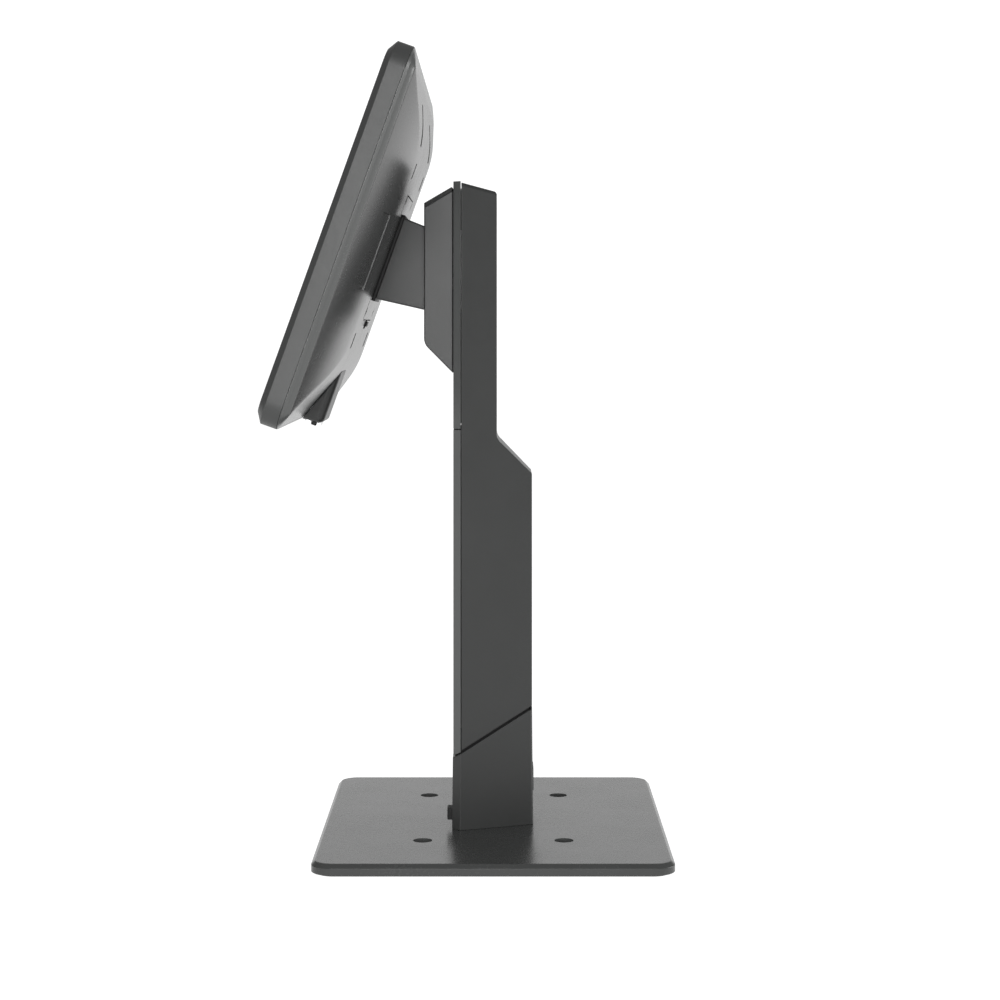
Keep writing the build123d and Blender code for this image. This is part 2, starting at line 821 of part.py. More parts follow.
def back_form(inset):
    """The back cover's outer form, or the same drawn inward by this much."""
    with BuildPart() as form:
        with BuildSketch(behind(cover_face)):
            RectangleRounded(
                screen_width - 2 * inset, screen_height - 2 * inset, screen_corner - inset
            )
        with BuildSketch(behind(strip_depth)):
            RectangleRounded(
                screen_width - 2 * strip_width - 2 * inset,
                screen_height - 2 * strip_width - 2 * inset,
                screen_corner - 4 - inset,
            )
        loft()
        with BuildSketch(behind(strip_depth)):
            RectangleRounded(
                screen_width - 2 * strip_width - 2 * inset,
                screen_height - 2 * strip_width - 2 * inset,
                screen_corner - 4 - inset,
            )
        extrude(amount=-(back_depth - strip_depth + 2))
        with BuildSketch(screen_plan.offset(-screen_height / 2)):
            with BuildLine():
                arch = RadiusArc(
                    (back_flat_half, -back_depth + inset), (arch_end, -strip_depth + inset), -628
                )
                lead = Line(arch @ 1, (arch_end + 9, -strip_depth + inset))
                Line(lead @ 1, (arch_end + 9, 0))
                mirror(about=Plane.YZ)
                Line((-back_flat_half, -back_depth + inset), (back_flat_half, -back_depth + inset))
                Line((-arch_end - 9, 0), (arch_end + 9, 0))
            make_face()
        extrude(amount=screen_height, mode=Mode.INTERSECT)
        with BuildSketch(screen_side.offset(-screen_width / 2)):
            with BuildLine():
                FilletPolyline(
                    (-slope_end, -slope_end_depth + inset),
                    (-shoulder_up, -back_depth + inset),
                    (shoulder_up, -back_depth + inset),
                    (slope_end, -slope_end_depth + inset),
                    radius=shoulder_radius,
                )
                Polyline(
                    (slope_end, -slope_end_depth + inset),
                    (screen_height / 2, -cover_face - 0.2 + inset),
                    (screen_height / 2, 0),
                    (-screen_height / 2, 0),
                    (-screen_height / 2, -cover_face - 0.2 + inset),
                    (-slope_end, -slope_end_depth + inset),
                )
            make_face()
        extrude(amount=screen_width, mode=Mode.INTERSECT)
    return form.part


back_outside = back_form(0)
back_inside = back_form(shell)

pocket_depth = 1.4
side_port_x = 166.5
side_port_width = 33.0
side_port_height = 64.0
side_port_up = -1.5
# name: centre across and up, width, height, through slots in its floor
vents = {
    "slope": (94.0, 110.5, 17.0, 33.0, 4),
    "upper": (85.0, 73.5, 10.0, 13.2, 2),
    "lower": (85.0, -76.0, 10.0, 13.2, 2),
}
vent_pitch = 3.8
vent_slot = 1.6
io_half = 32.0
io_low = -155.0
io_high = -90.0
io_depth = 33.4
latch_width_across = 21.0
latch_low = -65.4
latch_high = recess_center - recess_height / 2

# shallow pockets sunk into the cover's skin: a seat for each side port cover, and the vents
with BuildPart() as skin_pockets:
    with BuildSketch(behind(back_depth + 1)):
        with Locations((side_port_x, side_port_up), (-side_port_x, side_port_up)):
            RectangleRounded(side_port_width, side_port_height, 1)
        for x, up, width, height, slots in vents.values():
            with Locations((x, up), (-x, up)):
                RectangleRounded(width, height, 1)
    extrude(amount=back_depth)
    add(back_form(pocket_depth), mode=Mode.SUBTRACT)

with BuildPart() as back_cover:
    add(back_outside)
    add(back_inside, mode=Mode.SUBTRACT)
    # floor under the mount recess, then the recess itself
    with BuildSketch(behind(back_depth)):
        with Locations((0, recess_center)):
            RectangleRounded(recess_width + 4, recess_height + 4, 5)
    extrude(amount=recess_depth + shell)
    with BuildSketch(behind(back_depth)):
        with Locations((0, recess_center)):
            RectangleRounded(recess_width, recess_height, 5)
    extrude(amount=recess_depth, mode=Mode.SUBTRACT)
    with BuildSketch(behind(back_depth)):
        with GridLocations(mount_pitch, mount_pitch, 2, 2):
            Circle(2.3)
        with GridLocations(cover_pitch_x, cover_pitch_up, 2, 2):
            Circle(1.8)
    extrude(amount=recess_depth + shell + 1, mode=Mode.SUBTRACT)
    with BuildSketch(behind(back_depth - recess_depth)):
        with GridLocations(cover_pitch_x, cover_pitch_up, 2, 2):
            Circle(3.4)
    extrude(amount=1.3, mode=Mode.SUBTRACT)
    # latch slot, open to the recess
    with BuildSketch(behind(back_depth + 1)):
        with Locations((0, (latch_low + latch_high) / 2)):
            Rectangle(latch_width_across, latch_high - latch_low)
    extrude(amount=8, mode=Mode.SUBTRACT)
    add(skin_pockets.part, mode=Mode.SUBTRACT)
    # narrow slots through the vents' floors
    with BuildSketch(behind(back_depth + 1)):
        for x, up, width, height, slots in vents.values():
            for side in (-1, 1):
                with Locations((side * x, up)):
                    with GridLocations(vent_pitch, 0, slots, 1):
                        SlotOverall(height - 3.2, vent_slot, rotation=90)
    extrude(amount=20, mode=Mode.SUBTRACT)
    # opening behind the connectors
    with BuildSketch(behind(back_depth + 1)):
        with Locations((0, -130)):
            Rectangle(2 * io_half - 8, 40)
    extrude(amount=back_depth, mode=Mode.SUBTRACT)
finish(back_cover.part, "back_cover")

with BuildPart() as cover_screws:
    with Locations(facing_back(back_depth - recess_depth - 1.2)):
        with GridLocations(cover_pitch_x, cover_pitch_up, 2, 2):
            Cylinder(3.2, 1.1, align=(Align.CENTER, Align.CENTER, Align.MIN))
            Cylinder(1.5, 8, align=(Align.CENTER, Align.CENTER, Align.MAX))
finish(cover_screws.part, "cover_screws")

# thin lids that lie in the side seats, with a finger gap at each end
for side, name in ((-1, "side_port_cover_left"), (1, "side_port_cover_right")):
    with BuildPart() as port_cover:
        with BuildSketch(behind(back_depth + 1)):
            with Locations((side * side_port_x, side_port_up)):
                RectangleRounded(side_port_width - 0.8, side_port_height - 4.4, 0.8)
        extrude(amount=back_depth)
        add(back_form(0.1), mode=Mode.INTERSECT)
        add(back_form(pocket_depth), mode=Mode.SUBTRACT)
    finish(port_cover.part, name)

# connector housing: a wedge that fills the angle between the lower slope and the flat back

io_wall = 2.0
io_corner = 5.0
io_side_corner = 7.0
io_front_depth = 15.2


def io_outline(inset):
    """The housing's outline from the side, drawn inward by this much."""
    return [
        (io_high, -io_depth + inset),
        (io_low + 1.5 + inset, -io_depth + inset),
        (io_low + inset, -io_front_depth),
        (io_high, -io_front_depth),
    ]


with BuildPart() as io_hollow:
    with BuildSketch(screen_side.offset(-io_half + io_wall)):
        Polygon(*io_outline(io_wall), align=None)
    extrude(amount=2 * (io_half - io_wall))
    long_edges = io_hollow.edges().filter_by(Axis(screen.origin, screen.y_dir))
    fillet(long_edges.group_by(Axis(screen.origin, screen.z_dir))[0], io_side_corner - io_wall)

with BuildPart() as slope_form:
    with BuildSketch(screen_side.offset(-100)):
        Polygon(
            (-slope_end - 9, -slope_end_depth + 2.9),
            (-slope_end, -slope_end_depth - 0.35),
            (-shoulder_up - 18.6, -back_depth + 7.18 - 0.35),
            (-shoulder_up - 9, -back_depth + 3.7),
            (-shoulder_up, -back_depth + 1.5),
            (-shoulder_up + 10, -back_depth + 0.25),
            (-shoulder_up + 10, 5),
            (-slope_end - 9, 5),
            align=None,
        )
    extrude(amount=200)

# name: centre across, width, height above the connector board
port_list = {
    "usb_port": (12.0, 14.2, 5.6),
    "network_jack": (-5.5, 16.0, 13.4),
    "power_jack": (-22.0, 11.0, 11.0),
}
port_front = -157.0
port_rear = -136.0
port_board_depth = 17.4
button_x = 24.2
button_depth = 25.7
button_width = 7.0
button_height = 4.4

with BuildPart() as io_housing:
    with BuildSketch(screen_side.offset(-io_half)):
        Polygon(*io_outline(0), align=None)
    extrude(amount=2 * io_half)
    low_corner = (0, *screen_point(io_low + 1.5, io_depth))
    long_edges = io_housing.edges().filter_by(Axis(screen.origin, screen.y_dir))
    fillet(long_edges.group_by(Axis(screen.origin, screen.z_dir))[0], io_side_corner)
    fillet(io_housing.edges().filter_by(Axis.X).sort_by_distance(low_corner)[0], io_corner)
    add(io_hollow.part, mode=Mode.SUBTRACT)
    add(slope_form.part, mode=Mode.SUBTRACT)
    # cut-outs in the lower edge for the ports and the button
    for x, width, height in port_list.values():
        with BuildSketch(behind(port_board_depth)):
            with Locations((x, io_low)):
                Rectangle(width + 0.6, 12)
        extrude(amount=-height - 0.5, mode=Mode.SUBTRACT)
    with BuildSketch(behind(button_depth - button_height / 2 - 0.3)):
        with Locations((button_x, io_low)):
            Rectangle(button_width + 0.6, 12)
    extrude(amount=-button_height - 0.6, mode=Mode.SUBTRACT)
finish(io_housing.part, "io_housing")

with BuildPart() as io_board:
    with BuildSketch(behind(port_board_depth)):
        with Locations((0, -134.5)):
            Rectangle(2 * io_half - 9, 30)
    extrude(amount=1.6)
finish(io_board.part, "io_board")

connector_face = Plane(screen.origin, x_dir=(1, 0, 0), z_dir=screen.y_dir).offset(port_front)

# metal or plastic shells with their openings facing down, and a tongue or pin inside
for name, (x, width, height) in port_list.items():
    with BuildPart() as port:
        middle = port_board_depth + height / 2
        with BuildSketch(connector_face):
            with Locations((x, middle)):
                RectangleRounded(width, height, 0.6)
        extrude(amount=port_rear - port_front)
        with BuildSketch(connector_face):
            with Locations((x, middle)):
                if name == "power_jack":
                    Circle(3.2)
                elif name == "network_jack":
                    Rectangle(11.8, 8.4)
                else:
                    RectangleRounded(width - 1.6, height - 1.2, 0.5)
        extrude(amount=11, mode=Mode.SUBTRACT)
        with BuildSketch(connector_face.offset(1)):
            with Locations((x, middle)):
                if name == "power_jack":
                    Circle(1)
                elif name == "network_jack":
                    with Locations((0, 3.9)):
                        Rectangle(8, 0.8)
                else:
                    Rectangle(width - 4, 1.2)
        extrude(amount=10)
    finish(port.part, name)

# power button, under the housing, and the switch that it presses

button_low = -157.2
button_flange_up = -151.4
button_up = Plane(screen.origin, x_dir=(1, 0, 0), z_dir=screen.y_dir)

with BuildPart() as power_button:
    with BuildSketch(button_up.offset(button_low)):
        with Locations((button_x, button_depth)):
            RectangleRounded(button_width, button_height, 1.2)
    extrude(amount=6.2)
    fillet(power_button.edges().group_by(Axis(screen.origin, screen.y_dir))[0], 0.5)
    with BuildSketch(button_up.offset(button_flange_up)):
        with Locations((button_x, button_depth)):
            RectangleRounded(button_width + 2.4, button_height + 1.6, 1.2)
    extrude(amount=1.2)
finish(power_button.part, "power_button")

with BuildPart() as button_switch:
    with BuildSketch(button_up.offset(-148.5)):
        with Locations((button_x, button_depth)):
            Rectangle(6.4, 6)
    extrude(amount=8)
finish(button_switch.part, "button_switch")

# mount latch: a wide tab in the slot below the recess, with a flange behind that keeps it in

latch_tab = latch_high - 2.9
latch_tab_width = 20.0
latch_proud = 1.6
latch_flange_depth = 32.2

with BuildPart() as mount_latch:
    with BuildSketch(behind(back_depth + latch_proud)):
        with Locations((0, latch_tab)):
            RectangleRounded(latch_tab_width, 4.4, 0.8)
    extrude(amount=back_depth + latch_proud - latch_flange_depth)
    with BuildSketch(behind(latch_flange_depth)):
        with Locations((0, latch_tab - 0.4)):
            RectangleRounded(latch_tab_width + 4, 9, 0.8)
    extrude(amount=1.8)
finish(mount_latch.part, "mount_latch")
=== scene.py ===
import bpy
import bmesh
import json
import math
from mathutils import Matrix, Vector


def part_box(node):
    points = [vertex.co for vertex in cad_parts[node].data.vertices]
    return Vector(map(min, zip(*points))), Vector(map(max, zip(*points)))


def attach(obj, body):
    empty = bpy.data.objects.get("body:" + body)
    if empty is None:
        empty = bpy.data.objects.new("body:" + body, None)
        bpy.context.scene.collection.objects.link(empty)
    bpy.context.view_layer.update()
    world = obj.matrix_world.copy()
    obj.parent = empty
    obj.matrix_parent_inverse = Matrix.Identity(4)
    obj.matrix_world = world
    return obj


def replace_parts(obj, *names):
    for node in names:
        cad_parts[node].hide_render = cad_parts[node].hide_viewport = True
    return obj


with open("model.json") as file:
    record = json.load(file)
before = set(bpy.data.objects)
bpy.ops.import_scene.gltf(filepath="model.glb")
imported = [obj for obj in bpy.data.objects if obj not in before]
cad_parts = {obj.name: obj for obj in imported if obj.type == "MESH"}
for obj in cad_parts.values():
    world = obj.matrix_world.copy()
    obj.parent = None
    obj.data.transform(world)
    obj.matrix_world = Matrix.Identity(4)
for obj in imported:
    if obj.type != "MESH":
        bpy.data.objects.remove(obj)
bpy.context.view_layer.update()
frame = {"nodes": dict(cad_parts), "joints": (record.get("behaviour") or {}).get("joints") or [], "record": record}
nodes = frame["nodes"]
joints = {joint["name"]: joint for joint in frame["joints"]}
mm = 0.001
print("frame loaded:", len(nodes), "nodes")

# camera and light

cameraSettings = {
    "place": (1.955, 0.0043, 0.436),
    "lens": 81.0,
    "shiftRight": 0.0015,
    "shiftUp": -0.173,
}


def addCamera(s):
    data = bpy.data.cameras.new("viewCamera")
    data.lens = s["lens"]
    data.sensor_width = 36
    data.shift_x = s["shiftRight"]
    data.shift_y = s["shiftUp"]
    data.clip_end = 60
    camera = bpy.data.objects.new("viewCamera", data)
    camera.location = s["place"]
    camera.rotation_euler = (math.radians(90), 0, math.radians(90))
    bpy.context.scene.collection.objects.link(camera)
    bpy.context.scene.camera = camera


addCamera(cameraSettings)
bpy.context.scene.view_settings.view_transform = "Standard"

studioSettings = {
    "backdrop": 1.15,
    "brightSide": 1.0,
    "dimSide": 0.17,
    "brightFrom": -0.97,
    "dimFrom": -0.70,
    "floorGlow": 1.0,
    "floorShade": 0.45,
    "floorReach": 30.0,
    # name: (place, looks at, width, height, power)
    "lamps": {
        "keySoftbox": ((3.4, -0.65, 0.85), (0, 0, 0.3), 1.1, 1.2, 38),
        "fillSoftbox": ((3.4, 0.5, 0.9), (0, 0, 0.35), 1.6, 1.4, 20),
        "rearSoftbox": ((-0.3, 2.6, 0.3), (0, 0, 0.4), 1.6, 1.0, 26),
        "topSoftbox": ((-0.8, 0.1, 3.0), (0, 0, 0), 1.6, 1.6, 2),
    },
}


def linkNodes(tree, source, target):
    tree.links.new(source, target)


def lightRoom(s):
    # white all round to the eye; as a light, bright behind the object and dim elsewhere
    room = bpy.context.scene.world or bpy.data.worlds.new("room")
    bpy.context.scene.world = room
    room.use_nodes = True
    tree = room.node_tree
    tree.nodes.clear()
    out = tree.nodes.new("ShaderNodeOutputWorld")
    seen = tree.nodes.new("ShaderNodeBackground")
    seen.inputs["Strength"].default_value = s["backdrop"]
    light = tree.nodes.new("ShaderNodeBackground")
    for background in (seen, light):
        background.inputs["Color"].default_value = (1, 1, 1, 1)
    way = tree.nodes.new("ShaderNodeTexCoord")
    parts = tree.nodes.new("ShaderNodeSeparateXYZ")
    fade = tree.nodes.new("ShaderNodeMapRange")
    fade.interpolation_type = "SMOOTHSTEP"
    fade.inputs["From Min"].default_value = s["brightFrom"]
    fade.inputs["From Max"].default_value = s["dimFrom"]
    fade.inputs["To Min"].default_value = s["brightSide"]
    fade.inputs["To Max"].default_value = s["dimSide"]
    ray = tree.nodes.new("ShaderNodeLightPath")
    either = tree.nodes.new("ShaderNodeMixShader")
    linkNodes(tree, way.outputs["Generated"], parts.inputs[0])
    linkNodes(tree, parts.outputs["X"], fade.inputs["Value"])
    linkNodes(tree, fade.outputs[0], light.inputs["Strength"])
    linkNodes(tree, ray.outputs["Is Camera Ray"], either.inputs[0])
    linkNodes(tree, light.outputs[0], either.inputs[1])
    linkNodes(tree, seen.outputs[0], either.inputs[2])
    linkNodes(tree, either.outputs[0], out.inputs["Surface"])


def glowMaterial(name, glow, shade):
    made = bpy.data.materials.new(name)
    made.use_nodes = True
    tree = made.node_tree
    tree.nodes.clear()
    out = tree.nodes.new("ShaderNodeOutputMaterial")
    lit = tree.nodes.new("ShaderNodeBsdfDiffuse")
    lit.inputs["Color"].default_value = (shade, shade, shade, 1)
    glowing = tree.nodes.new("ShaderNodeEmission")
    glowing.inputs["Strength"].default_value = glow
    both = tree.nodes.new("ShaderNodeAddShader")
    linkNodes(tree, lit.outputs[0], both.inputs[0])
    linkNodes(tree, glowing.outputs[0], both.inputs[1])
    linkNodes(tree, both.outputs[0], out.inputs["Surface"])
    return made


def addFloor(s):
    reach = s["floorReach"]
    mesh = bpy.data.meshes.new("floor")
    corners = [(-reach, -reach, 0), (reach, -reach, 0), (reach, reach, 0), (-reach, reach, 0)]
    mesh.from_pydata(corners, [], [(0, 1, 2, 3)])
    mesh.materials.append(glowMaterial("palePaper", s["floorGlow"], s["floorShade"]))
    floor = bpy.data.objects.new("floor", mesh)
    floor.visible_diffuse = False  # its glow is for the eye and for reflections only
    bpy.context.scene.collection.objects.link(floor)


def addLamps(s):
    for name, (place, target, width, height, power) in s["lamps"].items():
        data = bpy.data.lights.new(name, "AREA")
        data.shape = "RECTANGLE"
        data.size = width
        data.size_y = height
        data.energy = power
        lamp = bpy.data.objects.new(name, data)
        lamp.location = place
        lamp.rotation_euler = (Vector(target) - Vector(place)).to_track_quat("-Z", "Y").to_euler()
        bpy.context.scene.collection.objects.link(lamp)


lightRoom(studioSettings)
addFloor(studioSettings)
addLamps(studioSettings)
print("camera and studio ready")

# shader maths


class Wire:
    # a node's output that takes part in sums
    def __init__(self, graph, socket):
        self.graph = graph
        self.socket = socket

    def sum(self, operation, *others):
        return self.graph.add("ShaderNodeMath", {"operation": operation}, dict(enumerate(others)))

    def __add__(self, other):
        return self.sum("ADD", self, other)

    def __sub__(self, other):
        return self.sum("SUBTRACT", self, other)

    def __mul__(self, other):
        return self.sum("MULTIPLY", self, other)

    def __rsub__(self, other):
        return self.sum("SUBTRACT", other, self)

    def __lt__(self, other):
        return self.sum("LESS_THAN", self, other)

    def __abs__(self):
        return self.sum("ABSOLUTE", self)

    __radd__ = __add__
    __rmul__ = __mul__


class Graph:
    # one material's node tree
    def __init__(self, name):
        self.material = bpy.data.materials.new(name)
        self.material.use_nodes = True
        self.tree = self.material.node_tree
        self.tree.nodes.clear()

    def add(self, kind, settings=None, values=None, output=0):
        made = self.tree.nodes.new(kind)
        for key, value in (settings or {}).items():
            setattr(made, key, value)
        for key, value in (values or {}).items():
            if isinstance(value, Wire):
                self.tree.links.new(value.socket, made.inputs[key])
            else:
                made.inputs[key].default_value = value
        return Wire(self, made.outputs[output]) if made.outputs else None

    def place(self):
        return self.add("ShaderNodeTexCoord", output="Object")

    def noise(self, size, detail=2.0, rough=0.5, at=None):
        # size is the grain in metres
        return self.add(
            "ShaderNodeTexNoise",
            None,
            {"Vector": at or self.place(), "Scale": 1 / size, "Detail": detail, "Roughness": rough},
        )

    def spread(self, value, low, high, newLow, newHigh):
        return self.add("ShaderNodeMapRange", None, {0: value, 1: low, 2: high, 3: newLow, 4: newHigh})

    def tint(self, amount, first, second):
        return self.add(
            "ShaderNodeMix",
            {"data_type": "RGBA"},
            {0: amount, 6: (*first, 1), 7: (*second, 1)},
            output=2,
        )

    def bump(self, height, strength, distance):
        return self.add(
            "ShaderNodeBump", None, {"Height": height, "Strength": strength, "Distance": distance}
        )

    def surface(self, **values):
        shader = self.add(
            "ShaderNodeBsdfPrincipled", None, {k.replace("_", " "): v for k, v in values.items()}
        )
        self.add("ShaderNodeOutputMaterial", None, {"Surface": shader})
        return self.material


def grey(level, warmth=0.0):
    return (level * (1 - warmth), level, level * (1 - 0.5 * warmth))


# dark and light are the two shades, grain and depth the size of the skin's texture in metres
coatSettings = {
    "mouldedGrey": {
        "dark": 0.047, "light": 0.054, "grain": 0.00055, "depth": 0.00003, "rough": (0.36, 0.44),
    },
    # a much lighter copy of the moulded grey for the front covers: painted light for the brightness the front
    # strip catches
    "frontPaintedLightGrey": {
        "dark": 0.16, "light": 0.175, "grain": 0.00055, "depth": 0.00003, "rough": (0.36, 0.44),
    },
    "headGrey": {
        "dark": 0.050, "light": 0.058, "grain": 0.00055, "depth": 0.00003, "rough": (0.38, 0.46),
    },
    "bezelGrey": {
        "dark": 0.075, "light": 0.083, "grain": 0.0007, "depth": 0.00003, "rough": (0.40, 0.48),
    },
    "backGrey": {
        "dark": 0.030, "light": 0.034, "grain": 0.0005, "depth": 0.000003, "rough": (0.25, 0.28),
        # lighter grey for the strip behind the bezel: a painted highlight for the light it catches, not a
        # different plastic
        "paintedHighlightGrey": 0.15,
    },
    "baseGrey": {
        "dark": 0.09, "light": 0.102, "grain": 0.0009, "depth": 0.00002, "rough": (0.24, 0.29),
        "gloss": 0.35,
    },
    "matBlack": {
        "dark": 0.004, "light": 0.006, "grain": 0.0006, "depth": 0.00003, "rough": (0.55, 0.65),
    },
    # near black for the spine so the gap at the foot's split reads dark: painted shade
    "spinePaintedShadeBlack": {
        "dark": 0.008, "light": 0.011, "grain": 0.001, "depth": 0.00004, "rough": (0.5, 0.6),
    },
}
cloudSize = 0.045  # how wide the faint clouds of colour and gloss are, in metres
greyWarmth = 0.03


def coatMaterial(name, s, paintedHighlightMask=None):
    # fine-grained satin coat or moulded skin, faintly uneven; the optional mask paints a lighter grey on top as a
    # painted highlight
    g = Graph(name)
    cloud = g.noise(cloudSize, 3, 0.55)
    fine = g.noise(s["grain"], 2, 0.6)
    pores = g.noise(s["grain"] * 3.1, 1, 0.5)
    shade = g.spread(cloud * 0.6 + fine * 0.4, 0.35, 0.65, 0, 1)
    colour = g.tint(shade, grey(s["dark"], greyWarmth), grey(s["light"], greyWarmth))
    # painted highlight: where the mask is set, a lighter grey replaces the coat's own colour
    if paintedHighlightMask:
        paintedHighlightGrey = (*grey(s["paintedHighlightGrey"], greyWarmth), 1)
        colour = g.add(
            "ShaderNodeMix", {"data_type": "RGBA"}, {0: paintedHighlightMask(g), 6: colour, 7: paintedHighlightGrey}, output=2
        )
    return g.surface(
        Base_Color=colour,
        Roughness=g.spread(cloud * 0.5 + pores * 0.5, 0.3, 0.7, *s["rough"]),
        Normal=g.bump(fine * 0.7 + pores * 0.3, 0.35, s["depth"]),
        Specular_IOR_Level=s.get("gloss", 0.5),
    )


def metalMaterial(name, shade, rough, stretch=(1, 1, 12)):
    g = Graph(name)
    lines = g.add("ShaderNodeMapping", None, {"Vector": g.place(), "Scale": stretch})
    grain = g.noise(0.0009, 2, 0.6, at=lines)
    dark = tuple(0.82 * c for c in shade)
    return g.surface(
        Base_Color=g.tint(grain, dark, shade),
        Metallic=1.0,
        Roughness=g.spread(grain, 0.3, 0.7, rough * 0.85, rough * 1.2),
        Normal=g.bump(grain, 0.2, 0.00002),
    )


def boardMaterial():
    # green laminate with faint copper tracks under the mask
    g = Graph("boardGreen")
    tracks = g.add(
        "ShaderNodeTexBrick",
        {"offset": 0.5},
        {"Vector": g.place(), "Scale": 180.0, "Mortar Size": 0.03, "Color1": (1, 1, 1, 1),
         "Color2": (0.7, 0.7, 0.7, 1), "Mortar": (0, 0, 0, 1)},
        output="Fac",
    )
    return g.surface(
        Base_Color=g.tint(tracks, (0.012, 0.07, 0.03), (0.03, 0.15, 0.06)),
        Roughness=g.spread(g.noise(0.004), 0.3, 0.7, 0.3, 0.42),
    )


def rubberMaterial():
    g = Graph("padRubber")
    fine = g.noise(0.0012, 3, 0.6)
    return g.surface(
        Base_Color=g.tint(fine, grey(0.008), grey(0.018)),
        Roughness=g.spread(fine, 0.3, 0.7, 0.72, 0.85),
        Normal=g.bump(fine, 0.4, 0.0001),
    )


coats = {name: coatMaterial(name, s) for name, s in coatSettings.items()}
slotMaterials = {
    "base_steel": coats["baseGrey"],
    "grey_plastic": coats["mouldedGrey"],
    "bezel_grey": coats["bezelGrey"],
    "back_plastic": coats["backGrey"],
    "plate_grey": coats["backGrey"],
    "black_plastic": coats["matBlack"],
    # the spine is painted near black as painted shade for the gap it shows through
    "spine_steel": coats["spinePaintedShadeBlack"],
    "black_screws": metalMaterial("blackScrew", (0.05, 0.05, 0.05), 0.4, (1, 1, 1)),
    "zinc_screws": metalMaterial("zincScrew", (0.62, 0.63, 0.65), 0.32, (1, 1, 1)),
    "plain_steel": metalMaterial("plainSteel", (0.55, 0.56, 0.57), 0.36),
    "bright_steel": metalMaterial("brightSteel", (0.75, 0.75, 0.76), 0.22),
    "bush_bronze": metalMaterial("bushBronze", (0.55, 0.36, 0.16), 0.34, (1, 1, 1)),
    "contact_brass": metalMaterial("contactBrass", (0.78, 0.6, 0.28), 0.25, (1, 1, 1)),
    "sink_aluminium": metalMaterial("sinkAluminium", (0.72, 0.73, 0.74), 0.35),
    "pad_rubber": rubberMaterial(),
    "lead_rubber": coats["matBlack"],
    "board_green": boardMaterial(),
    "panel_black": coats["matBlack"],
    "screen_glass": coats["matBlack"],
}
nodeSlots = {row["node"]: row["material_slot"] for row in frame["record"]["subparts"]}
bodyOf = {
    name: body for body, names in frame["record"]["behaviour"]["bodies"].items() for name in names
}


def paint(thing, material):
    thing.data.materials.clear()
    thing.data.materials.append(material)


for name, thing in nodes.items():
    paint(thing, slotMaterials[nodeSlots[name]])
print("materials ready:", len(bpy.data.materials))

# mesh tools


def smooth(mesh, angle=32):
    mesh.polygons.foreach_set("use_smooth", [True] * len(mesh.polygons))
    mesh.set_sharp_from_angle(angle=math.radians(angle))


def addPiece(name, mesh, node, material=None, bevel=0.0):
    # a new piece on the body and in the slot of a CAD node
    piece = bpy.data.objects.new(name, mesh)
    bpy.context.scene.collection.objects.link(piece)
    paint(piece, material or slotMaterials[nodeSlots[node]])
    if bevel:
        rounding = piece.modifiers.new("edges", "BEVEL")
        rounding.width = bevel
        rounding.segments = 3
        rounding.limit_method = "ANGLE"
        rounding.angle_limit = math.radians(30)
        rounding.use_clamp_overlap = False
        rounding.miter_outer = "MITER_ARC"
        flow = piece.modifiers.new("flow", "WEIGHTED_NORMAL")
        flow.keep_sharp = True
    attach(piece, bodyOf[node])
    return piece


def softCopy(node, bevel, material=None):
    # the CAD shape with its flat faces joined up again and its edges rounded
    bm = bmesh.new()
    bm.from_mesh(nodes[node].data)
    bmesh.ops.remove_doubles(bm, verts=bm.verts, dist=2e-6)
    bmesh.ops.dissolve_limit(bm, angle_limit=math.radians(0.6), verts=bm.verts, edges=bm.edges)
    mesh = bpy.data.meshes.new(node + "Soft")
    bm.to_mesh(mesh)
    bm.free()
    smooth(mesh)
    piece = addPiece(node + "Soft", mesh, node, material, bevel)
    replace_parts(piece, node)


def meshOf(name, points, faces, angle=32):
    mesh = bpy.data.meshes.new(name)
    mesh.from_pydata(points, [], faces)
    bm = bmesh.new()
    bm.from_mesh(mesh)
    bmesh.ops.recalc_face_normals(bm, faces=bm.faces)
    bm.to_mesh(mesh)
    bm.free()
    smooth(mesh, angle)
    return mesh


def roundedLoop(halfWidth, halfHeight, radius, turns=10, across=40, along=32):
    # points round a rounded rectangle, the same count whatever its size
    points = []
    corners = ((1, 1, 0), (-1, 1, 90), (-1, -1, 180), (1, -1, 270))
    for index, (sideX, sideY, start) in enumerate(corners):
        centre = (sideX * (halfWidth - radius), sideY * (halfHeight - radius))
        for step in range(turns + 1):
            angle = math.radians(start + 90 * step / turns)
            points.append((centre[0] + radius * math.cos(angle), centre[1] + radius * math.sin(angle)))
        following = corners[(index + 1) % 4]
        nextCentre = (following[0] * (halfWidth - radius), following[1] * (halfHeight - radius))
        turn = math.radians(start + 90)
        first = points[-1]
        last = (nextCentre[0] + radius * math.cos(turn), nextCentre[1] + radius * math.sin(turn))
        count = across if index % 2 == 0 else along
        for step in range(1, count):
            share = step / count
            x = first[0] + (last[0] - first[0]) * share
            y = first[1] + (last[1] - first[1]) * share
            points.append((x, y))
    return points


def joinLoops(loops, closed=False, caps=(False, False)):
    # faces between loops of equal length; closed joins the last to the first
    count = len(loops[0])
    points = [point for loop in loops for point in loop]
    faces = []
    pairs = len(loops) if closed else len(loops) - 1
    for row in range(pairs):
        low = row * count
        high = ((row + 1) % len(loops)) * count
        for step in range(count):
            after = (step + 1) % count
            faces.append((low + step, low + after, high + after, high + step))
    if caps[0]:
        faces.append(tuple(range(count)))
    if caps[1]:
        faces.append(tuple((len(loops) - 1) * count + step for step in range(count)))
    return points, faces


# the display's own frame: across is X, up runs along the latch's slide, depth runs rearward

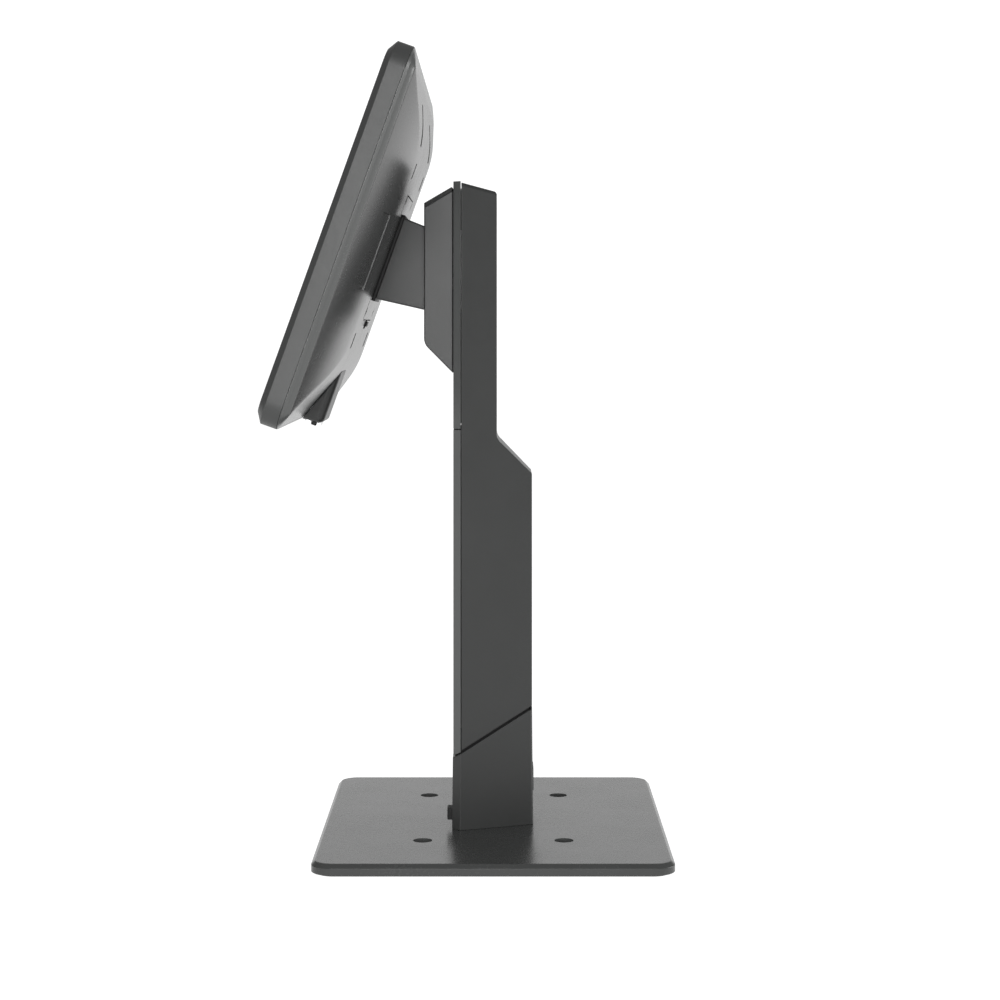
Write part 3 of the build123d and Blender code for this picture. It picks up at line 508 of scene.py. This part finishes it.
screenUp = -Vector(joints["mount_latch_slide"]["axis"]).normalized()
screenRear = Vector((1, 0, 0)).cross(screenUp) * -1
if screenRear.y < 0:
    screenRear.negate()
glassLow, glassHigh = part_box("touch_glass")
glassMiddle = 3.95 * mm  # the glass's middle stands this far in front of the frame's edge plane
screenOrigin = (glassLow + glassHigh) / 2 + screenRear * glassMiddle
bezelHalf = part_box("front_bezel")[1].x / mm


def onDisplay(across, up, depth):
    return screenOrigin + Vector((across * mm, 0, 0)) + screenUp * (up * mm) + screenRear * (depth * mm)


def displayLoops(profile):
    return [
        [onDisplay(x, y, depth) for x, y in roundedLoop(halfWidth, halfHeight, radius)]
        for halfWidth, halfHeight, radius, depth in profile
    ]


# rounded shells made from their CAD shapes

shellBevels = {
    "foot_shell": 0.5, "rear_cover": 0.5, "head_shell": 0.5, "head_cap": 0.3, "neck_cover": 0.4,
    "neck_arm": 0.3, "mount_plate": 0.25, "io_housing": 0.3, "foot_latch": 0.25,
    "mount_latch": 0.25, "power_button": 0.2,
    "usb_port": 0.1, "network_jack": 0.15, "power_jack": 0.2, "mains_inlet": 0.3,
}
shellMaterials = {name: coats["headGrey"] for name in ("head_shell", "neck_cover")}
for node, bevel in shellBevels.items():
    softCopy(node, bevel * mm, shellMaterials.get(node))
print("shells rounded")

# base plate

basePlate = {
    "halfWidth": 175.0,
    "halfDepth": 145.5,
    "corner": 18.0,
    "chamfer": 3.3,
    "edge": 0.5,
    "holeRadius": 3.5,
    "sinkRadius": 7.75,
    "sinkDepth": 5.0,
    "holeSteps": 48,
}


def diskColumn(centre, sections, steps):
    # a closed round column: sections are (radius, height)
    loops = []
    for radius, height in sections:
        loops.append([
            (centre[0] + radius * math.cos(2 * math.pi * step / steps),
             centre[1] + radius * math.sin(2 * math.pi * step / steps), height)
            for step in range(steps)
        ])
    return joinLoops(loops, caps=(True, True))


def addMeshes(parts):
    points, faces = [], []
    for somePoints, someFaces in parts:
        start = len(points)
        points += somePoints
        faces += [tuple(start + index for index in face) for face in someFaces]
    return points, faces


def cutMesh(mesh, cutterMesh, angle=32):
    # the mesh with the cutter taken out of it
    body = bpy.data.objects.new("body", mesh)
    cutter = bpy.data.objects.new("cutter", cutterMesh)
    for thing in (body, cutter):
        bpy.context.scene.collection.objects.link(thing)
    cut = body.modifiers.new("cut", "BOOLEAN")
    cut.operation = "DIFFERENCE"
    cut.solver = "EXACT"
    cut.object = cutter
    made = bpy.data.meshes.new_from_object(body.evaluated_get(bpy.context.evaluated_depsgraph_get()))
    for thing in (body, cutter):
        bpy.data.objects.remove(thing)
    smooth(made, angle)
    return made


def makeBase(s):
    low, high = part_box("base_plate")
    bottom, top = low.z / mm, high.z / mm
    edge, chamfer = s["edge"], s["chamfer"]
    profile = (
        (edge, bottom),
        (0, bottom + edge),
        (0, top - chamfer - edge * 0.4),
        (edge * 0.3, top - chamfer + edge * 0.4),
        (chamfer - edge * 0.5, top - edge * 0.3),
        (chamfer + edge * 0.6, top),
        (chamfer + edge * 3, top),
    )
    loops = []
    for inset, height in profile:
        outline = roundedLoop(s["halfWidth"] - inset, s["halfDepth"] - inset, s["corner"] - inset)
        loops.append([(x * mm, y * mm, height * mm) for x, y in outline])
    points, faces = joinLoops(loops, caps=(True, True))
    plate = meshOf("basePlateMesh", points, faces, 20)
    bolts = [mount for mount in frame["record"]["mounts"] if mount["name"] == "counter_bolts"][0]
    spreadX = bolts["dims"]["spacing_x_mm"] / 2
    spreadY = bolts["dims"]["spacing_y_mm"] / 2
    sections = (
        (s["holeRadius"], bottom - 1),
        (s["holeRadius"], top - s["sinkDepth"]),
        (s["sinkRadius"], top - s["sinkDepth"]),
        (s["sinkRadius"], top - 0.35),
        (s["sinkRadius"] + 0.35, top),
        (s["sinkRadius"] + 0.35, top + 1),
    )
    columns = []
    for sideX in (-1, 1):
        for sideY in (-1, 1):
            centre = (sideX * spreadX * mm, sideY * spreadY * mm)
            scaled = [(radius * mm, height * mm) for radius, height in sections]
            columns.append(diskColumn(centre, scaled, s["holeSteps"]))
    cutter = meshOf("basePlateHoles", *addMeshes(columns))
    made = cutMesh(plate, cutter, 20)
    piece = addPiece("basePlateSoft", made, "base_plate")
    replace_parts(piece, "base_plate")


makeBase(basePlate)
print("base plate made")

# front covers of the column

columnFront = {
    "flatHalf": 48.0,
    "flatY": -34.0,
    "cornerHalf": 53.5,
    "cornerY": -27.7,
    "seamSlope": 0.567,
}
frontCovers = {
    "wall": 2.5,
    "innerStep": 1.1,
    "lip": 3.0,
    "windowHalf": 31.0,
    "windowLow": 446.0,
    "windowHigh": 522.0,
    "windowNear": -50.0,
    "windowFar": -20.0,
    "edge": 0.25,
}


def makeFrontCover(s, column, node, slope, window):
    low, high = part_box(node)
    half = (
        (column["flatHalf"], column["flatY"]),
        (column["cornerHalf"], column["cornerY"]),
        (column["cornerHalf"] - s["lip"], column["cornerY"]),
        (column["flatHalf"] - s["innerStep"], column["flatY"] + s["wall"]),
    )
    outline = list(half) + [(-x, y) for x, y in half[::-1]]
    loops = [
        [(x * mm, y * mm, low.z + slope * (y - column["flatY"]) * mm) for x, y in outline],
        [(x * mm, y * mm, high.z) for x, y in outline],
    ]
    mesh = meshOf(node + "Mesh", *joinLoops(loops, caps=(True, True)))
    if window:
        across, near, far = s["windowHalf"], s["windowNear"], s["windowFar"]
        corners = ((-across, near), (across, near), (across, far), (-across, far))
        heights = (s["windowLow"], s["windowHigh"])
        box = [[(x * mm, y * mm, z * mm) for x, y in corners] for z in heights]
        mesh = cutMesh(mesh, meshOf(node + "Window", *joinLoops(box, caps=(True, True))))
    # the front covers take the lighter copy of the moulded grey, as painted light
    piece = addPiece(node + "Soft", mesh, node, coats["frontPaintedLightGrey"], s["edge"] * mm)
    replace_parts(piece, node)


makeFrontCover(frontCovers, columnFront, "front_cover_lower", columnFront["seamSlope"], False)
makeFrontCover(frontCovers, columnFront, "front_cover_upper", 0, True)

# inner lip that closes the slanting seam between foot and covers, in near black as painted shade for the gap

seamShadowLip = {
    "rearHalf": 29.0,
    "rearY": 33.0,
    "inset": 2.7,
    "wall": 0.8,
    "seamFront": 72.7,
    "below": 3.0,
    "above": 3.4,
}


def insetOutline(points, inset):
    # a convex outline, listed counterclockwise, with every side moved in by the inset
    made = []
    for index, point in enumerate(points):
        before = Vector(points[index - 1])
        here = Vector(point)
        after = Vector(points[(index + 1) % len(points)])
        arriving = (here - before).normalized()
        leaving = (after - here).normalized()
        normals = [Vector((-way.y, way.x)) for way in (arriving, leaving)]
        bisector = (normals[0] + normals[1]).normalized()
        made.append(here + bisector * (inset / bisector.dot(normals[0])))
    return made


def makeLip(s, column):
    half = (
        (column["flatHalf"], column["flatY"]),
        (column["cornerHalf"], column["cornerY"]),
        (s["rearHalf"], s["rearY"]),
    )
    outline = list(half) + [(-x, y) for x, y in half[::-1]]
    outer = insetOutline(outline, s["inset"])
    inner = insetOutline(outline, s["inset"] + s["wall"])
    low, high = s["seamFront"] - s["below"], s["seamFront"] + s["above"]
    loops = []
    for ring, front in ((inner, low), (outer, low), (outer, high), (inner, high)):
        rise = [column["seamSlope"] * (point.y - column["flatY"]) for point in ring]
        loops.append([(p.x * mm, p.y * mm, (front + up) * mm) for p, up in zip(ring, rise)])
    mesh = meshOf("seamShadowLipMesh", *joinLoops(loops, closed=True))
    # near black: painted shade for the dark gap along the seam
    addPiece("seamShadowLip", mesh, "foot_shell", coats["matBlack"])


makeLip(seamShadowLip, columnFront)
print("front covers and seam lip made")

# bezel and glass

bezelSettings = {
    "halfHeight": 156.0,
    "corner": 20.0,
    "bandDepth": 13.1,
    "slope": 8.0,
    "rise": 5.0,
    "edge": 0.45,
    "opening": 9.0,
    "ledge": 15.0,
    "ledgeDepth": 2.5,
    "wall": 3.0,
}


def makeBezel(s):
    half, tall, corner, edge = bezelHalf, s["halfHeight"], s["corner"], s["edge"]

    def ring(inset, depth):
        return (half - inset, tall - inset, max(corner - inset, 8), depth)

    tilt = s["rise"] / s["slope"]
    profile = (
        ring(0.25, s["bandDepth"]),
        ring(0, s["bandDepth"] - 0.25),
        ring(0, edge * 0.8),
        ring(edge * 0.1, edge * 0.25),
        ring(edge * 0.45, -edge * 0.2),
        ring(edge, -edge * tilt),
        ring(s["slope"] - edge, -s["rise"] + edge * tilt),
        ring(s["slope"] - edge * 0.3, -s["rise"] + 0.06),
        ring(s["slope"] + edge * 0.3, -s["rise"]),
        ring(s["opening"] - 0.15, -s["rise"]),
        ring(s["opening"], -s["rise"] + 0.15),
        ring(s["opening"], -s["rise"] + s["ledgeDepth"]),
        ring(s["ledge"], -s["rise"] + s["ledgeDepth"]),
        ring(s["ledge"], 0),
        ring(s["wall"], 0),
        ring(s["wall"], s["bandDepth"]),
    )
    points, faces = joinLoops(displayLoops(profile), closed=True)
    piece = addPiece("frontBezelSoft", meshOf("frontBezelMesh", points, faces, 24), "front_bezel")
    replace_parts(piece, "front_bezel")


glassSettings = {
    "halfWidth": 239.7,
    "halfHeight": 146.7,
    "corner": 10.7,
    "front": -5.0,
    "back": -2.9,
    "edge": 0.3,
    "viewHalfWidth": 232.6,
    "viewHalfHeight": 130.8,
}


def distanceAlong(g, way):
    # how far a point lies along this direction from the middle of the display's edge plane
    spot = g.add(
        "ShaderNodeVectorMath", {"operation": "SUBTRACT"}, {0: g.place(), 1: screenOrigin}
    )
    return g.add("ShaderNodeVectorMath", {"operation": "DOT_PRODUCT"}, {0: spot, 1: way}, "Value")


def glassMaterial(s):
    # hard-coated glass over a black printed border and a slightly lighter sleeping panel
    g = Graph("touchGlass")
    withinHeight = abs(distanceAlong(g, screenUp)) < s["viewHalfHeight"] * mm
    withinWidth = abs(distanceAlong(g, (1, 0, 0))) < s["viewHalfWidth"] * mm
    smear = g.noise(0.06, 3, 0.6)
    return g.surface(
        Base_Color=g.tint(withinHeight * withinWidth, (0.003, 0.003, 0.003), (0.012, 0.013, 0.015)),
        Roughness=g.spread(smear, 0.3, 0.7, 0.05, 0.10),
        Specular_IOR_Level=0.5,
    )


def makeGlass(s):
    half, tall, corner, edge = s["halfWidth"], s["halfHeight"], s["corner"], s["edge"]
    profile = (
        (half, tall, corner, s["back"]),
        (half, tall, corner, s["front"] + edge),
        (half - edge * 0.35, tall - edge * 0.35, corner, s["front"] + edge * 0.3),
        (half - edge, tall - edge, corner, s["front"]),
        (half - edge * 4, tall - edge * 4, corner, s["front"]),
    )
    points, faces = joinLoops(displayLoops(profile), caps=(True, True))
    mesh = meshOf("touchGlassMesh", points, faces, 24)
    piece = addPiece("touchGlassSoft", mesh, "touch_glass", glassMaterial(s))
    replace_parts(piece, "touch_glass")


makeBezel(bezelSettings)
makeGlass(glassSettings)
print("bezel and glass made")

# back cover

backSettings = {
    "halfHeight": 156.0,
    "corner": 20.0,
    "rimDepth": 13.4,
    "stripDepth": 19.8,
    "stripWidth": 6.0,
    "fullDepth": 37.0,
    "flatHalf": 97.0,
    "archRadius": 628.0,
    "flatUp": 77.0,
    "shoulderRadius": 107.0,
    "shoulderEnd": 115.6,
    "slope": 0.385,
    "blend": 0.5,
    "shell": 2.5,
    "recessHalf": (56.0, 56.5),
    "recessUp": -1.5,
    "recessDepth": 2.0,
    "recessCorner": 5.0,
    "floorMargin": 2.0,
    "stripCorner": 16.0,
    "rings": 44,
    "insideRings": 12,
    "crowding": 1.15,
    "gridStep": 3.0,
    # (share of the way in over the side strip, depth below it): a fine groove and a soft inner edge
    "stripRows": (
        (0.0, 0), (0.33, 0), (0.35, 0.15), (0.38, 0.15), (0.40, 0), (0.94, 0), (1.0, 0.05),
    ),
}


def archDepth(s, across):
    past = max(abs(across) - s["flatHalf"], 0)
    return s["fullDepth"] - s["archRadius"] + math.sqrt(s["archRadius"] ** 2 - past ** 2)


def slopeDepth(s, up):
    past = max(abs(up) - s["flatUp"], 0)
    reach = s["shoulderEnd"] - s["flatUp"]
    turn = s["shoulderRadius"]
    if past <= reach:
        return s["fullDepth"] - turn + math.sqrt(turn ** 2 - past ** 2)
    atEnd = s["fullDepth"] - turn + math.sqrt(turn ** 2 - reach ** 2)
    return atEnd - s["slope"] * (past - reach)


def backDepth(s, across, up):
    # the lower of the two outlines, with the ridge between them softened
    first, second = archDepth(s, across), slopeDepth(s, up)
    gap = max(s["blend"] - abs(first - second), 0)
    return min(first, second) - gap ** 2 / (4 * s["blend"])


def blendLoop(outer, inner, share):
    # the loop this share of the way from one to the other
    return [
        (x0 + (x1 - x0) * share, y0 + (y1 - y0) * share)
        for (x0, y0), (x1, y1) in zip(outer, inner)
    ]


def backOutside(s):
    # from the rim over the grooved side strip and in to the recess's floor
    tall, rimGap = s["halfHeight"], 0.2
    start = s["rimDepth"] + 0.3
    rim = roundedLoop(bezelHalf - rimGap, tall - rimGap, s["corner"])
    strip = roundedLoop(bezelHalf - s["stripWidth"], tall - s["stripWidth"], s["stripCorner"])
    flat = roundedLoop(*s["recessHalf"], s["recessCorner"])
    recess = [(x, y + s["recessUp"]) for x, y in flat]
    loops = [[onDisplay(x, y, s["rimDepth"]) for x, y in rim]]
    for share, sink in s["stripRows"]:
        loop = []
        for (x, y), stripPoint in zip(blendLoop(rim, strip, share), strip):
            edge = min(s["stripDepth"], backDepth(s, *stripPoint))
            loop.append(onDisplay(x, y, start + (edge - start) * share - sink))
        loops.append(loop)
    for ring in range(1, s["rings"] + 1):
        share = (ring / s["rings"]) ** s["crowding"]
        loops.append([onDisplay(x, y, backDepth(s, x, y)) for x, y in blendLoop(strip, recess, share)])
    floor = s["fullDepth"] - s["recessDepth"]
    loops.append([onDisplay(x, y, floor) for x, y in recess])
    return loops


def backInside(s):
    # the same form drawn in by the shell, with the recess's floor backed up
    shell, margin = s["shell"], s["floorMargin"]
    half, tall = bezelHalf - shell, s["halfHeight"] - shell
    rim = roundedLoop(half, tall, s["corner"] - shell)
    strip = roundedLoop(half - s["stripWidth"], tall - s["stripWidth"], s["stripCorner"] - shell)
    flat = roundedLoop(s["recessHalf"][0] + margin, s["recessHalf"][1] + margin, s["recessCorner"])
    recess = [(x, y + s["recessUp"]) for x, y in flat]
    loops = [[onDisplay(x, y, s["rimDepth"]) for x, y in rim]]
    for ring in range(s["insideRings"] + 1):
        highest = s["fullDepth"] if ring else s["stripDepth"]
        loops.append([
            onDisplay(x, y, min(backDepth(s, x, y), highest) - shell)
            for x, y in blendLoop(strip, recess, ring / s["insideRings"])
        ])
    floor = s["fullDepth"] - s["recessDepth"] - shell
    loops.append([onDisplay(x, y, floor) for x, y in recess])
    return loops


def skinBlock(s, spot, width, height, top, bottom):
    # a block that follows the cover's skin, from this far above it to this far below
    across, up = spot
    columns = max(2, round(width / s["gridStep"]))
    rows = max(2, round(height / s["gridStep"]))
    points = []
    for sink in (-top, bottom):
        for row in range(rows + 1):
            for column in range(columns + 1):
                x = across - width / 2 + width * column / columns
                y = up - height / 2 + height * row / rows
                points.append(onDisplay(x, y, backDepth(s, x, y) - sink))
    stride = columns + 1
    level = stride * (rows + 1)
    faces = []
    for base, flip in ((0, 1), (level, -1)):
        for row in range(rows):
            for column in range(columns):
                corner = base + row * stride + column
                faces.append((corner, corner + 1, corner + stride + 1, corner + stride)[::flip])
    for row in range(rows):
        for column in (0, columns):
            corner = row * stride + column
            faces.append((corner, corner + stride, corner + stride + level, corner + level))
    for column in range(columns):
        for row in (0, rows):
            corner = row * stride + column
            faces.append((corner, corner + 1, corner + 1 + level, corner + level))
    return points, faces


def slotPrism(spot, halfWidth, halfHeight, radius, depths):
    # a straight block through the cover, between these two depths
    outline = roundedLoop(halfWidth, halfHeight, radius, 4, 1, 1)
    across, up = spot
    loops = [[onDisplay(across + x, up + y, depth) for x, y in outline] for depth in depths]
    return joinLoops(loops, caps=(True, True))


# shallow seats in pairs, each at (across, up) and (width, height), with their through slots
backPockets = {
    "sidePorts": {"at": (166.5, -1.5), "size": (33.0, 64.0), "slots": 0},
    "slopeVents": {"at": (94.0, 110.5), "size": (17.0, 33.0), "slots": 4},
    "upperVents": {"at": (85.0, 73.5), "size": (10.0, 13.2), "slots": 2},
    "lowerVents": {"at": (85.0, -76.0), "size": (10.0, 13.2), "slots": 2},
}
pocketSettings = {"above": 6, "sink": 1.4}
ventSettings = {"pitch": 3.8, "halfWidth": 0.8, "radius": 0.784, "ends": 1.6, "depths": (12, 44)}
backOpenings = {
    "latchSlot": {"half": (10.5, 3.95), "up": -61.45, "radius": 0.4, "depths": (28, 44)},
    "connectors": {"half": (28.0, 20.0), "up": -130.0, "radius": 1, "depths": (1, 44)},
}
portLids = {"sideGap": 2.2, "endGap": 4.6, "sunk": 0.8, "edge": 0.2}


def stripHighlightMask(g):
    # the narrow sloping strip just behind the bezel, which gets a lighter grey as a painted highlight
    return distanceAlong(g, screenRear) < backSettings["stripDepth"] * mm


def makeBack(s):
    points, faces = joinLoops(backInside(s)[::-1] + backOutside(s), caps=(True, True))
    cover = meshOf("backShell", points, faces)
    above, sink = pocketSettings["above"], pocketSettings["sink"]
    v = ventSettings
    cuts = []
    slots = []
    for pocket in backPockets.values():
        (across, up), (width, height) = pocket["at"], pocket["size"]
        for side in (-1, 1):
            cuts.append(skinBlock(s, (side * across, up), width, height, above, sink))
            for number in range(pocket["slots"]):
                offset = (number - (pocket["slots"] - 1) / 2) * v["pitch"]
                spot = (side * across + offset, up)
                halfHeight = height / 2 - v["ends"]
                slots.append(slotPrism(spot, v["halfWidth"], halfHeight, v["radius"], v["depths"]))
    for opening in backOpenings.values():
        cuts.append(slotPrism((0, opening["up"]), *opening["half"], opening["radius"], opening["depths"]))
    for name, parts in (("backPocketCuts", cuts), ("backSlotCuts", slots)):
        cover = cutMesh(cover, meshOf(name, *addMeshes(parts)))
    # the strip behind the bezel is painted lighter as a painted highlight; it is the same plastic as the rest
    coat = coatMaterial("backStripPaintedHighlight", coatSettings["backGrey"], stripHighlightMask)
    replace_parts(addPiece("backCoverSoft", cover, "back_cover", coat), "back_cover")


def makePortLids(s):
    (across, up), (width, height) = backPockets["sidePorts"]["at"], backPockets["sidePorts"]["size"]
    size = (width - s["sideGap"], height - s["endGap"])
    for side, node in ((-1, "side_port_cover_left"), (1, "side_port_cover_right")):
        lid = skinBlock(backSettings, (side * across, up), *size, -s["sunk"], pocketSettings["sink"])
        piece = addPiece(node + "Soft", meshOf(node + "Mesh", *lid), node, bevel=s["edge"] * mm)
        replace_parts(piece, node)


makeBack(backSettings)
makePortLids(portLids)
print("back cover and port lids made")
